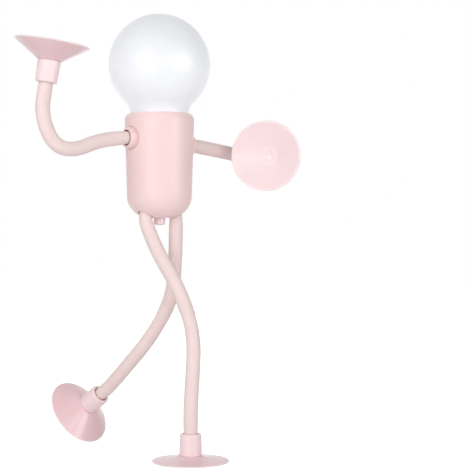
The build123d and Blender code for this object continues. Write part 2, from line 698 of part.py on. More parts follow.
def switch_board():
    plate = slab(SWITCH_BOARD_SIZE, SWITCH_BOARD_SIZE, SWITCH_BOARD_BOTTOM, SWITCH_BOARD_TOP)
    for side in (-1, 1):
        plate -= rod(PEG_TIP_R + SCREW_GAP, 0, BODY_HEIGHT, side * PEG_OFFSET, side * PEG_OFFSET)
    return plate


def lead(*points):
    """A thin insulated wire along straight runs with round bends."""
    return tube(FilletPolyline(*points, radius=LEAD_BEND_R), LEAD_R)


def led_leads():
    high = LEDGE_Z + CARRIER_T
    third = (high - BOARD_TOP) / 3
    wires = []
    for side in (-1, 1):
        x = side * LED_LEAD_X
        wires.append(lead(
            (x, BOARD_MIDDLE, BOARD_TOP), (x, BOARD_MIDDLE, BOARD_TOP + third),
            (x, LED_LEAD_RING, high - third), (x, LED_LEAD_RING, high)))
    return wires


def battery_leads():
    over = CELL_TOP + CELL_LEAD_RISE
    inset = (CELL_R + CELL_NUB_R) / 2
    x, y = inset * math.sqrt(3) / 2, inset / 2
    plus = lead(
        (CELL_LEAD_X, BOARD_MIDDLE, BOARD_TOP), (CELL_LEAD_X, BOARD_MIDDLE, over),
        (x, y, over), (x, y, CELL_TOP))
    side_z = (CELL_TOP + CRADLE_TOP) / 2
    minus = lead(
        (-CELL_LEAD_X, BOARD_MIDDLE, BOARD_TOP), (-CELL_LEAD_X, BOARD_MIDDLE, side_z),
        (-CELL_R / 2, CELL_R * math.sqrt(3) / 2 + LEAD_R + LEAD_END_GAP, side_z))
    return [plus, minus]


def switch_leads():
    edge = SWITCH_BOARD_SIZE / 2
    z = SWITCH_BOARD_BOTTOM + SWITCH_BOARD_T / 2
    wires = []
    for side in (-1, 1):
        x = side * SWITCH_LEAD_X
        wires.append(lead(
            (x, BOARD_MIDDLE, BOARD_Z), (x, BOARD_MIDDLE, CELL_Z),
            (side * edge / 2, (BOARD_MIDDLE + edge) / 2, z), (side * edge / 2, edge, z)))
    return wires


def turned(x, y, z=0):
    """A place or direction in the body's own frame, turned to the way the figure faces."""
    return Vector(x, y, z).rotate(Axis.Z, BODY_YAW)


def spread(start, reach, shares):
    """Points at shares of a reach from a start."""
    return [start + Vector(*share) * reach for share in shares]


def descend(seat, end_z, reach, shares):
    """Points of a leg: sideways shares of the reach, and heights as shares of the whole drop."""
    drop = end_z - seat.Z
    return [seat + Vector(right * reach, back * reach, down * drop) for right, back, down in shares]


def make_limbs():
    """The four limbs at rest, with the standing cup's rim in the middle of the table plane."""
    hip = turned(-LEG_SIDE, -LEG_FRONT)
    step = Vector(*STANDING_RIM_SHARE) * LEG_REACH
    axis_foot = -(hip + step)
    middle = Vector(axis_foot.X, axis_foot.Y, STAND_HEIGHT)
    right, ahead, up = Vector(1, 0, 0), Vector(0, 1, 0), Vector(0, 0, 1)

    shoulder = middle + turned(-ARM_SEAT, 0, ARM_HEIGHTS[-1])
    raised = Limb(
        "raised_arm", shoulder, turned(-1, 0), ARM_ROOT_RUN,
        spread(shoulder, ARM_REACH, RAISED_CORNER_SHARES), RAISED_TAIL_RUN,
        shoulder + Vector(*RAISED_RIM_SHARE) * ARM_REACH, Vector(*RAISED_AIM_SHARE), CUP_DEPTH,
        (1, 4, 5), (up, turned(0, 1), right))

    shoulder = middle + turned(ARM_SEAT, 0, ARM_HEIGHTS[1])
    outstretched = Limb(
        "outstretched_arm", shoulder, turned(1, 0), ARM_ROOT_RUN,
        spread(shoulder, ARM_REACH, OUTSTRETCHED_CORNER_SHARES), OUTSTRETCHED_TAIL_RUN,
        shoulder + Vector(*OUTSTRETCHED_RIM_SHARE) * ARM_REACH, Vector(*OUTSTRETCHED_AIM_SHARE), CUP_DEPTH,
        (1, 2, 6), (turned(0, 1), up, right))

    seat = middle + turned(-LEG_SIDE, -LEG_FRONT, LEG_SEAT_Z)
    ankle_z = PRESSED_DEPTH + COLLAR_LENGTH
    standing = Limb(
        "standing_leg", seat, -up, LEG_ROOT_RUN,
        descend(seat, ankle_z, LEG_REACH, STANDING_CORNER_SHARES), STANDING_TAIL_RUN,
        Vector(0, 0, 0), -up, PRESSED_DEPTH,
        (1, 3, 6), (ahead, right, ahead))

    seat = middle + turned(LEG_SIDE, -LEG_FRONT, LEG_SEAT_Z)
    aim = Vector(*TRAILING_AIM_SHARE).normalized()
    rim_z = CUP_RIM_R * math.sqrt(1 - aim.Z ** 2)
    rim = Vector(seat.X, seat.Y, rim_z) + Vector(*TRAILING_RIM_SHARE) * LEG_REACH
    ankle_z = rim_z - aim.Z * (CUP_DEPTH + COLLAR_LENGTH)
    trailing = Limb(
        "trailing_leg", seat, -up, LEG_ROOT_RUN,
        descend(seat, ankle_z, LEG_REACH, TRAILING_CORNER_SHARES), TRAILING_TAIL_RUN,
        rim, aim, CUP_DEPTH, (1, 3, 5), (ahead, right, right))
    return middle, [raised, outstretched, standing, trailing]


def torso_nodes(middle):
    """Everything that the body carries, in the body's own frame, turned and lifted into place."""
    place = Location(middle, (0, 0, BODY_YAW))
    makers = (
        body_shell, globe_diffuser, led_carrier, led_board, led_chips, led_screws, battery_cell,
        battery_cradle, cradle_screws, control_board, board_components, board_screws, usb_socket,
        switch_board, switch_body, switch_plunger, button_cap, led_leads, battery_leads, switch_leads)
    nodes = {}
    for maker in makers:
        made = maker()
        solids = made if isinstance(made, list) else [made]
        nodes[maker.__name__] = [place * solid for solid in solids]
    return nodes


def limb_nodes(limbs):
    """Sleeves, cores, collars and cups of the limbs, and the hardware at their roots."""
    nodes = {
        "limb_root_sleeves": [sleeve(limb, 0) for limb in limbs],
        "limb_anchors": [core(limb, 0) for limb in limbs],
        "limb_washers": [along(limb.seat, limb.out) * washer() for limb in limbs],
        "limb_nuts": [along(limb.seat, limb.out) * nut() for limb in limbs],
    }
    for limb in limbs:
        for link, part in enumerate(("upper", "lower", "tip"), start=1):
            nodes[f"{limb.name}_sleeve_{part}"] = [sleeve(limb, link)]
            nodes[f"{limb.name}_core_{part}"] = [core(limb, link)]
        nodes[f"{limb.name}_collar"] = [collar(limb)]
        made = pressed_cup(limb) if limb.cup_depth == PRESSED_DEPTH else free_cup(limb)
        nodes[f"{limb.name}_cup"] = [made]
    return nodes


def report_bends(limbs):
    """Print each limb's length, and the radii of its arcs."""
    for limb in limbs:
        length = sum(limb.path(link, 0).length for link in range(len(limb.knuckles) + 1))
        print(limb.name, "length", round(length, 1), "radii", [round(r, 1) for r in limb.radii])


def main():
    middle, limbs = make_limbs()
    report_bends(limbs)
    os.makedirs("parts", exist_ok=True)
    for name, solids in {**torso_nodes(middle), **limb_nodes(limbs)}.items():
        shape = solids[0] if len(solids) == 1 else Compound(solids)
        export_step(shape, f"parts/{name}.step")


main()
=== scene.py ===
"""The looks of a suction cup lamp: a milk-white globe on a pink capsule body, with two bendable arms and
two bendable legs that end in suction cups. Metres, +Z up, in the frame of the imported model."""

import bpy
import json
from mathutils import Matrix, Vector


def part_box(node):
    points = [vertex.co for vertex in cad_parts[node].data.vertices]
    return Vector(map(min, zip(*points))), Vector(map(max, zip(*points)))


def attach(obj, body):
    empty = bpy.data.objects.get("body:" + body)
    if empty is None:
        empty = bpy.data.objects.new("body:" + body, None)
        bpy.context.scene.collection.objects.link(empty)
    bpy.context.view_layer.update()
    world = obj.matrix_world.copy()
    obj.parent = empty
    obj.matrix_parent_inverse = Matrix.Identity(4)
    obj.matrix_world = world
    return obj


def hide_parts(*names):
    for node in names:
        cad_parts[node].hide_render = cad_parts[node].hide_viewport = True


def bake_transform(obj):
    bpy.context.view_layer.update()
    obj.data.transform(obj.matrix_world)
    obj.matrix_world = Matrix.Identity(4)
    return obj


bl_info = {
    "name": "Suction Cup Lamp",
    "version": (1, 0, 0),
    "blender": (4, 5, 0),
    "location": "3D View > Sidebar > Lamp",
    "description": "Builds the finished surfaces of a suction cup lamp round its packed model",
    "category": "Add Mesh",
}

import json
import math

import bpy
import numpy as np
from bpy.props import FloatProperty, FloatVectorProperty, PointerProperty
from mathutils import Euler, Vector

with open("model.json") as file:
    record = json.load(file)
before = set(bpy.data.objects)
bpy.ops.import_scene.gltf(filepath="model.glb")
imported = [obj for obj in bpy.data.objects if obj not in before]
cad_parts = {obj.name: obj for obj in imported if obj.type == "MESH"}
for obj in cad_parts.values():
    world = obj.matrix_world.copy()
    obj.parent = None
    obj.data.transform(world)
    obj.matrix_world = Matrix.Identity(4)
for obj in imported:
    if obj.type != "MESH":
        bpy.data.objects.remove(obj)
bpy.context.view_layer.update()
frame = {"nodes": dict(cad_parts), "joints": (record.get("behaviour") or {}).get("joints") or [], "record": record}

MM = 0.001
JOINTS = {joint["name"]: joint for joint in frame["joints"]}
MOUNTS = {mount["name"]: mount for mount in frame["record"]["mounts"]}

# The body's axis, its underside and the way that it faces
GLOBE_LOW, GLOBE_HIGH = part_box("globe_diffuser")
BODY_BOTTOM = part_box("body_shell")[0].z
BODY_AXIS = ((GLOBE_LOW + GLOBE_HIGH) / 2).xy
BODY_YAW = math.radians(34)
UP = np.array((0, 0, 1))

# How finely the surfaces are drawn
ROUND_SIDES = 128
TUBE_SIDES = 56
ARC_STEPS = 14
GLOBE_STEPS = 72
ROUTE_STEPS = 48
RING_STEP = 0.6 * MM
SAME_POINT = 0.0001 * MM
SHARP_ANGLE = math.radians(32)

# The kinds of math node
NUMBER, VECTOR = "ShaderNodeMath", "ShaderNodeVectorMath"

# The range that a noise mostly keeps to, how much its specks change a tone, and the height of the grain
NOISE_LOW, NOISE_HIGH, SPECK_SHARE = 0.3, 0.7, 0.05
GRAIN_DEPTH = 0.05 * MM

# The names of the marks that a cup's material reads, and where its pale rim begins on the way out
RIM_MARK, INSIDE_MARK = "rim", "inside"
RIM_BEGIN_SHARE = 0.94

# Sockets and roundings of the collars, and the stretches at both ends where a sleeve is drawn in
SOCKET_GAP, BOND_GAP = 0.3 * MM, 0.1 * MM
STEM_R, STEM_LENGTH = 3.4 * MM, 3.8 * MM
CORE_HOLE_R, CORE_TAIL = 2.1 * MM, 3.9 * MM
FOOT_ROUND, LIP_ROUND = 0.4 * MM, 0.5 * MM
ROOT_NIP, TIP_NIP = 14 * MM, 8 * MM

# How far below the ball's middle the painted glow on the diffuser is brightest, as a share of its radius
PAINTED_GLOW_DROP_SHARE = 0.35

# The arm bosses: their radius, how far their root is from the body's axis and half the painted crease shade
BOSS_R, BOSS_ROOT, CREASE_HALF = 6.1 * MM, 20.3 * MM, 1.1 * MM

# The radius of their holes, and how far the painted shade inside a hole reaches past it
HOLE_R, HOLE_EDGE = 4.5 * MM, 0.25 * MM

# Outlines of the free cups and of the pressed one, as radius and height over the rim
CROWN_R, DIMPLE_R, DIMPLE_SHARE = 7 * MM, 4.3 * MM, 0.55
FREE_LAND, FREE_DIMPLE = 0.9 * MM, 1.2 * MM
FREE_FLARE = ((7.3 * MM, 9.75 * MM), (8.8 * MM, 8.77 * MM))
FREE_ROOF = ((8.6 * MM, 6.3 * MM), 8 * MM)
PRESSED_LAND, PRESSED_DIMPLE = 9.7 * MM, 0.6 * MM
PRESSED_FLARE = ((8.4 * MM, 2.31 * MM), (12.5 * MM, 1.83 * MM))
PRESSED_ROOF = ((9 * MM, 0.6 * MM), 0.9 * MM)

# The push button's rounding, crown and flange
BUTTON_ROUND, BUTTON_CROWN, FLANGE_T, CROWN_SHARE = 0.9 * MM, 0.25 * MM, 0.9 * MM, 0.55

# Where the camera stands from the body's axis, and how it is turned
CAMERA_BACK, CAMERA_HIGH, CAMERA_LENS = 830 * MM, 141.3 * MM, 107.23
CAMERA_YAW, CAMERA_PITCH = math.radians(3.087), math.radians(0.818)

# The floor's side and its two tones, the height that the stage lights look at and how far off they stand
FLOOR_SIDE, PAPER, PAPER_TINT = 6.0, "F4F4F4", "EEEEEE"
LAMP_AIM, LAMP_AWAY = 0.13, 1.15

# The stage lights' width and height, and their way from the body in degrees to the right and degrees up
SOFT_SIZE, STRIP_SIZE = (0.7, 0.7), (0.65, 0.8)
FRONT_LEFT, FRONT_RIGHT, HIGH_LEFT, BACK = (-25, 12), (25, 12), (-60, 45), (180, 5)
LEFT_STRIP, RIGHT_STRIP = (-30, 8), (56, 3)


def width_of(node, axis):
    """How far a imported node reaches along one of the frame's axes."""
    low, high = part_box(node)
    return high[axis] - low[axis]


def linear(code):
    """The light that a six-digit screen colour stands for, by the sRGB curve."""
    screen = np.array([int(code[i:i + 2], 16) for i in (0, 2, 4)]) / 255
    light = np.where(screen > 0.04045, ((screen + 0.055) / 1.055) ** 2.4, screen / 12.92)
    return tuple(float(v) for v in light)


def length(name, description, default):
    """A property that holds a length in metres."""
    return FloatProperty(
        name=name, description=description, default=default, min=0, precision=5, unit="LENGTH",
        subtype="DISTANCE")


def colour(name, description, code):
    """A property that holds a surface colour."""
    return FloatVectorProperty(
        name=name, description=description, default=linear(code), size=3, min=0, max=1, subtype="COLOR")


def factor(name, description, default):
    """A property that holds a share from none to all."""
    return FloatProperty(
        name=name, description=description, default=default, min=0, max=1, subtype="FACTOR")


def power(name, description, default):
    """A property that holds a lamp's power in watts."""
    return FloatProperty(name=name, description=description, default=default, min=0, unit="POWER")


class LampSizes(bpy.types.PropertyGroup):
    """Sizes of the surfaces that are worked out here."""

    globe_radius: length("Globe radius", "Radius of the diffuser's ball", width_of("globe_diffuser", 0) / 2)
    globe_wall: length("Globe wall", "Thickness of the diffuser", 1.8 * MM)
    globe_blend: length("Globe blend", "Radius of the hollow curve from ball to neck", 8 * MM)
    neck_radius: length("Neck radius", "Radius of the diffuser's neck", 17.4 * MM)
    sleeve_radius: length("Sleeve radius", "Radius of the soft limb sleeves", 4.15 * MM)
    sleeve_nip: length("Sleeve nip", "How much a sleeve is drawn in inside its socket", 0.6 * MM)
    collar_radius: length(
        "Collar radius", "Radius of a collar at its cup", width_of("standing_leg_collar", 0) / 2)
    collar_taper: length("Collar taper", "How much slimmer a collar is at its mouth", 0.35 * MM)
    collar_length: length("Collar length", "Length of a collar", width_of("standing_leg_collar", 2))
    collar_round: length("Collar round", "Rounding of a collar's mouth", 0.9 * MM)
    cup_radius: length("Cup radius", "Rim radius of a free cup", width_of("outstretched_arm_cup", 2) / 2)
    pressed_radius: length(
        "Pressed radius", "Rim radius of the pressed cup", width_of("standing_leg_cup", 0) / 2)
    cup_lip: length("Cup lip", "Radius of the rounded lip of a cup", 0.38 * MM)
    button_radius: length("Button radius", "Radius of the push button", 3.3 * MM)


class LampColours(bpy.types.PropertyGroup):
    """Colours of the lamp's finishes."""

    body: colour("Body", "Satin moulded pink of the body", "FADEDD")
    body_tint: colour("Body tint", "Deeper pink that clouds the body", "F2CFD0")
    # Painted shade: a darker pink painted in the creases round the arm bosses and a dark brown painted inside
    # their holes
    painted_crease_shade: colour("Body crease", "Shade in the creases round the arm bosses", "E0BBBA")
    painted_hole_shade: colour("Body hole", "Shade inside the arm holes", "A0746C")
    sleeve: colour("Sleeve", "Matt beige pink of the limb sleeves", "F5E1DE")
    sleeve_tint: colour("Sleeve tint", "Deeper tone in the sleeves", "EBD3D0")
    collar: colour("Collar", "Pale pink of the collars", "F9E2E4")
    collar_tint: colour("Collar tint", "Deeper tone in the collars", "F1D3D7")
    cup: colour("Cup", "Dusty pink of the silicone cups", "F2D2D6")
    cup_tint: colour("Cup tint", "Deeper tone in the cups", "E6C0C5")
    # Painted light: the cups' hollow side is painted paler than their outside, as where light falls into it
    cup_inside_painted_light: colour("Cup inside", "Paler pink of the cups' hollow side", "FAE4E6")
    cup_rim: colour("Cup rim", "Palest pink where the cup is thin", "F6E6E6")
    globe: colour("Globe", "Milk white of the diffuser", "CFD0D3")
    globe_tint: colour("Globe tint", "Cool cloud in the diffuser", "C8C8CD")
    # Painted light: a faint glow on the diffuser that evens out its shading, stronger below its middle than at its
    # top and neck
    painted_globe_glow: colour("Globe glow", "Faint cool light that comes through the diffuser", "969799")
    painted_globe_top_glow: colour("Globe top glow", "Fainter light that comes through its top", "787A7C")
    button: colour("Button", "Pink of the push button", "F2D9DC")
    button_tint: colour("Button tint", "Deeper tone in the push button", "E8C6CB")


class LampStage(bpy.types.PropertyGroup):
    """Light and floor."""

    front_left: power("Front left", "Soft lamp at the front, to the left", 3.5)
    front_right: power("Front right", "Soft lamp at the front, to the right", 3.7)
    high_left: power("High left", "Soft lamp high at the left", 1.9)
    back: power("Back", "Soft lamp behind the lamp", 4.0)
    left_strip: power("Left strip", "Tall lamp that only shows as a sheen, to the left", 8.0)
    right_strip: power("Right strip", "Tall lamp that only shows as a sheen, to the right", 14.0)
    ambient: factor("Ambient", "Even light from all round", 0.4)
    floor_glow: factor("Floor glow", "How much of the floor's white is its own", 0.64)


def profile(*stretches):
    """Joins stretches of an outline, each an array of radius and height, leaving out repeated points."""
    points = np.concatenate([np.atleast_2d(np.asarray(stretch, float)) for stretch in stretches])
    step = np.linalg.norm(np.diff(points, axis=0), axis=1)
    return points[np.r_[True, step > SAME_POINT]]


def arc(centre, radius, start, end, steps=ARC_STEPS):
    """Points on a circle between two angles in degrees: centre + radius (cos t, sin t)."""
    t = np.radians(np.linspace(start, end, steps))
    return np.asarray(centre) + radius * np.stack([np.cos(t), np.sin(t)], axis=1)


def bend(first, pull, last, steps=ARC_STEPS):
    """A quadratic curve: (1 - t)^2 first + 2 t (1 - t) pull + t^2 last."""
    t = np.linspace(0, 1, steps)[:, None]
    return (1 - t) ** 2 * np.asarray(first) + 2 * t * (1 - t) * np.asarray(pull) + t ** 2 * np.asarray(last)


def straight(first, last, steps=ARC_STEPS):
    """Evenly spaced points on a straight stretch."""
    return np.linspace(first, last, steps)


def unit(vector):
    """A vector, or rows of vectors, at length one."""
    vector = np.asarray(vector, float)
    return vector / np.linalg.norm(vector, axis=-1, keepdims=True)


def turned_rings(outline, origin, axis, sides=ROUND_SIDES):
    """An outline carried round an axis: origin + r (cos a e + sin a f) + h axis, e and f square to it."""
    axis = unit(axis)
    e = unit(np.cross(axis, np.eye(3)[np.argmin(np.abs(axis))]))
    f = np.cross(axis, e)
    a = np.linspace(0, 2 * np.pi, sides, endpoint=False)
    round_way = np.cos(a)[:, None] * e + np.sin(a)[:, None] * f
    return np.asarray(origin) + outline[:, 0, None, None] * round_way + outline[:, 1, None, None] * axis


def closed_skin(name, rings, first, last):
    """A closed surface through a stack of rings, with a fan of triangles from each end's middle point."""
    count, sides = rings.shape[:2]
    points = np.concatenate([rings.reshape(-1, 3), [first, last]])
    index = np.arange(count * sides).reshape(count, sides)
    ahead = np.roll(index, -1, axis=1)
    quads = np.stack([index[:-1], ahead[:-1], ahead[1:], index[1:]], axis=-1).reshape(-1, 4)
    start = np.stack([np.full(sides, count * sides), ahead[0], index[0]], axis=-1)
    finish = np.stack([np.full(sides, count * sides + 1), index[-1], ahead[-1]], axis=-1)
    triangles = np.concatenate([quads[:, [0, 1, 2]], quads[:, [0, 2, 3]], start, finish])
    corners = points[triangles] - points.mean(axis=0)
    if np.einsum("ij,ij->i", corners[:, 0], np.cross(corners[:, 1], corners[:, 2])).sum() < 0:
        quads, start, finish = quads[:, ::-1], start[:, ::-1], finish[:, ::-1]
    mesh = bpy.data.meshes.new(name)
    mesh.from_pydata(points.tolist(), [], quads.tolist() + start.tolist() + finish.tolist())
    mesh.shade_smooth()
    mesh.set_sharp_from_angle(angle=SHARP_ANGLE)
    piece = bpy.data.objects.new(name, mesh)
    bpy.context.scene.collection.objects.link(piece)
    return piece


def lathe(name, outline, origin, axis, sides=ROUND_SIDES):
    """A closed turned piece. The outline starts and ends on the axis."""
    rings = turned_rings(outline[1:-1], origin, axis, sides)
    ends = np.asarray(origin) + outline[[0, -1], 1, None] * unit(axis)
    return closed_skin(name, rings, *ends)


def mark(piece, name, values):
    """Stores one number for each point of a piece, for its material to read."""
    layer = piece.data.attributes.new(name, "FLOAT", "POINT")
    layer.data.foreach_set("value", np.asarray(values, np.float32))


def body_point(x, y, z):
    """A place in the body's own frame, turned to the way that it faces."""
    c, s = math.cos(BODY_YAW), math.sin(BODY_YAW)
    return np.array((BODY_AXIS.x + c * x - s * y, BODY_AXIS.y + s * x + c * y, BODY_BOTTOM + z))


class Limb:
    """One bendable limb: its joints, the body at its end, its cup and the route of its sleeve."""

    # How deep the sleeve sits in its collar, what a share of its route is measured in, and the part of its
    # first run that stays straight
    COLLAR_SOCKET = 4 * MM
    SHARE_LENGTH = 50 * MM
    STRAIGHT_SHARE = 0.6

    def __init__(self, name, joints, end, seat, out, root_run, *, shares, tail_run, cup_depth, bend_half):
        """Reads the joints and the cup's rim from the frame and lays out the route from seat to collar."""
        self.name = name
        self.joints = [JOINTS[f"{name}_{joint}"] for joint in joints]
        self.end = f"{name}_{end}"
        self.cup_depth = cup_depth
        self.bend_half = bend_half
        mount = MOUNTS[f"{name}_cup_rim"]
        self.rim = np.array(mount["pos_m"])
        self.aim = unit(mount["axis"])
        self.seat = seat
        self.mouth = self.rim - self.aim * (cup_depth + width_of("standing_leg_collar", 2))
        reach = np.array(self.reach())
        corners = seat + np.array(shares) * reach
        root = seat + out * root_run
        lead_out = seat + out * root_run * self.STRAIGHT_SHARE
        tail = self.mouth - self.aim * tail_run
        inside = self.mouth + self.aim * self.COLLAR_SOCKET
        self.route = np.array([seat, lead_out, root, *corners, tail, self.mouth, inside])

    def reach(self):
        """What a share of the route is measured in, for each of the frame's axes."""
        return (self.SHARE_LENGTH, self.SHARE_LENGTH, self.SHARE_LENGTH)

    def centre_line(self):
        """Even points on the quadratic NURBS curve that has the route as its control points."""
        curve = bpy.data.curves.new(self.name, "CURVE")
        curve.dimensions = "3D"
        spline = curve.splines.new("NURBS")
        spline.points.add(len(self.route) - 1)
        spline.points.foreach_set("co", np.c_[self.route, np.ones(len(self.route))].ravel())
        spline.order_u = 3
        spline.use_endpoint_u = True
        spline.resolution_u = ROUTE_STEPS
        carrier = bpy.data.objects.new(self.name, curve)
        mesh = bpy.data.meshes.new_from_object(carrier)
        line = np.empty(3 * len(mesh.vertices))
        mesh.vertices.foreach_get("co", line)
        bpy.data.objects.remove(carrier)
        bpy.data.curves.remove(curve)
        bpy.data.meshes.remove(mesh)
        line = line.reshape(-1, 3)
        along = np.r_[0, np.cumsum(np.linalg.norm(np.diff(line, axis=0), axis=1))]
        stations = np.linspace(0, along[-1], round(along[-1] / RING_STEP) + 1)
        return np.stack([np.interp(stations, along, line[:, k]) for k in range(3)], axis=1)


class Leg(Limb):
    """A limb whose heights are shares of the drop from its seat to its collar."""

    def reach(self):
        """As for any limb, with the leg's own drop for its heights."""
        return (self.SHARE_LENGTH, self.SHARE_LENGTH, self.mouth[2] - self.seat[2])


# Where the limbs begin in the body's frame, and how far their first run goes
ARM_SEAT, LEFT_ARM, RIGHT_ARM, ARM_ROOT = 18 * MM, 46.8 * MM, 43.6 * MM, 5.6 * MM
LEG_SIDE, LEG_FRONT, LEG_SEAT, LEG_ROOT = 10.8 * MM, 1.5 * MM, 6.4 * MM, 9 * MM
BODY_RIGHT = body_point(1, 0, 0) - body_point(0, 0, 0)

# The depths of a free cup and of the pressed one, and the limbs' joints
FREE_DEPTH, PRESSED_DEPTH = 10.2 * MM, 3.6 * MM
ARM_JOINTS, LEG_JOINTS = ("shoulder", "elbow", "wrist"), ("hip", "knee", "ankle")

LIMBS = (
    Limb("raised_arm", ARM_JOINTS, "hand", body_point(-ARM_SEAT, 0, LEFT_ARM), -BODY_RIGHT, ARM_ROOT,
         shares=((-0.38, -0.27, -0.04), (-0.684, -0.50, -0.18), (-0.899, -0.62, -0.104)),
         tail_run=17.5 * MM, cup_depth=FREE_DEPTH, bend_half=8.5 * MM),
    Limb("outstretched_arm", ARM_JOINTS, "hand", body_point(ARM_SEAT, 0, RIGHT_ARM), BODY_RIGHT, ARM_ROOT,
         shares=((0.46, 0.402, -0.055), (0.84, 0.795, -0.121), (0.975, 0.855, -0.123),
                 (1.115, 0.804, -0.125)),
         tail_run=15.8 * MM, cup_depth=FREE_DEPTH, bend_half=7.8 * MM),
    Leg("standing_leg", LEG_JOINTS, "foot", body_point(-LEG_SIDE, -LEG_FRONT, LEG_SEAT), -UP, LEG_ROOT,
        shares=((0.138, -0.034, 0.202), (0.397, -0.144, 0.372), (0.566, -0.274, 0.567),
                (0.538, -0.384, 0.771)),
        tail_run=16 * MM, cup_depth=PRESSED_DEPTH, bend_half=8 * MM),
    Leg("trailing_leg", LEG_JOINTS, "foot", body_point(LEG_SIDE, -LEG_FRONT, LEG_SEAT), -UP, LEG_ROOT,
        shares=((-0.005, 0.034, 0.258), (-0.046, 0.084, 0.48), (-0.30, 0.18, 0.677), (-0.543, 0.34, 0.81)),
        tail_run=9 * MM, cup_depth=FREE_DEPTH, bend_half=8 * MM),
)


def shade_node(tree, kind, **sockets):
    """A node with values on its input sockets, given by name with _ for a space."""
    node = tree.nodes.new(kind)
    for name, value in sockets.items():
        node.inputs[name.replace("_", " ")].default_value = value
    return node


def feed(tree, value, socket):
    """Links another socket to an input, or gives the input a plain value."""
    if isinstance(value, bpy.types.NodeSocket):
        tree.links.new(value, socket)
    else:
        socket.default_value = value


def calculate(tree, kind, operation, *values):
    """A math node that works on sockets and plain values."""
    node = tree.nodes.new(kind)
    node.operation = operation
    for socket, value in zip(node.inputs, values):
        feed(tree, value, socket)
    return node


def mix_colours(tree, share, first, second):
    """The first colour where the share is none, the second where it is one and a blend between them."""
    node = tree.nodes.new("ShaderNodeMix")
    node.data_type = "RGBA"
    for name, value in (("Factor", share), ("A", first), ("B", second)):
        feed(tree, value, node.inputs[name])
    return node.outputs["Result"]


def fade(tree, value, begin, end):
    """One below the beginning, none above the end and a smooth fall between them."""
    node = shade_node(tree, "ShaderNodeMapRange", From_Min=begin, From_Max=end, To_Min=1.0, To_Max=0.0)
    node.interpolation_type = "SMOOTHSTEP"
    tree.links.new(value, node.inputs["Value"])
    return node.outputs["Result"]


def place_group(tree, group):
    """A node that stands for a node group."""
    node = tree.nodes.new("ShaderNodeGroup")
    node.node_tree = group
    return node


def group_sockets(group, inputs, outputs):
    """Adds named sockets to a node group and returns its input and output nodes."""
    for direction, sockets in (("INPUT", inputs), ("OUTPUT", outputs)):
        for name, kind in sockets.items():
            group.interface.new_socket(name, in_out=direction, socket_type=f"NodeSocket{kind}")
    return group.nodes.new("NodeGroupInput"), group.nodes.new("NodeGroupOutput")


def moulded_group():
    """A moulded surface: two tones in soft clouds, a fine grain for the bump and a drifting roughness."""
    name = "Moulded Surface"
    if name in bpy.data.node_groups:
        return bpy.data.node_groups[name]
    group = bpy.data.node_groups.new(name, "ShaderNodeTree")
    inlet, outlet = group_sockets(
        group,
        {"Colour": "Color", "Tint": "Color", "Cloud": "Float", "Cloud Scale": "Float",
         "Grain Scale": "Float", "Smooth": "Float", "Rough": "Float"},
        {"Colour": "Color", "Roughness": "Float", "Height": "Float"})
    link = group.links.new
    place = group.nodes.new("ShaderNodeTexCoord")
    cloud = shade_node(group, "ShaderNodeTexNoise", Detail=4.0, Roughness=0.55, Distortion=0.4)
    grain = shade_node(group, "ShaderNodeTexNoise", Detail=3.0, Roughness=0.6)
    for noise, scale in ((cloud, "Cloud Scale"), (grain, "Grain Scale")):
        link(place.outputs["Object"], noise.inputs["Vector"])
        link(inlet.outputs[scale], noise.inputs["Scale"])
    speck = shade_node(
        group, "ShaderNodeMapRange", From_Min=NOISE_LOW, From_Max=NOISE_HIGH, To_Min=-SPECK_SHARE,
        To_Max=SPECK_SHARE)
    link(grain.outputs["Fac"], speck.inputs["Value"])
    amount = calculate(
        group, NUMBER, "MULTIPLY_ADD", cloud.outputs["Fac"], inlet.outputs["Cloud"],
        speck.outputs["Result"])
    tone = mix_colours(group, amount.outputs["Value"], inlet.outputs["Colour"], inlet.outputs["Tint"])
    drift = shade_node(group, "ShaderNodeMapRange", From_Min=NOISE_LOW, From_Max=NOISE_HIGH)
    link(cloud.outputs["Fac"], drift.inputs["Value"])
    link(inlet.outputs["Smooth"], drift.inputs["To Min"])
    link(inlet.outputs["Rough"], drift.inputs["To Max"])
    link(tone, outlet.inputs["Colour"])
    link(drift.outputs["Result"], outlet.inputs["Roughness"])
    link(grain.outputs["Fac"], outlet.inputs["Height"])
    return group


def marked_tone_group():
    """A second colour where a piece's own mark rises from Begin to one, mixed over the first."""
    name = "Marked Tone"
    if name in bpy.data.node_groups:
        return bpy.data.node_groups[name]
    group = bpy.data.node_groups.new(name, "ShaderNodeTree")
    inlet, outlet = group_sockets(
        group,
        {"Colour": "Color", "Marked": "Color", "Mark": "Float", "Begin": "Float"},
        {"Colour": "Color"})
    link = group.links.new
    ramp = shade_node(group, "ShaderNodeMapRange", From_Max=1.0)
    ramp.interpolation_type = "SMOOTHSTEP"
    link(inlet.outputs["Mark"], ramp.inputs["Value"])
    link(inlet.outputs["Begin"], ramp.inputs["From Min"])
    tone = mix_colours(group, ramp.outputs["Result"], inlet.outputs["Colour"], inlet.outputs["Marked"])
    link(tone, outlet.inputs["Colour"])
    return group


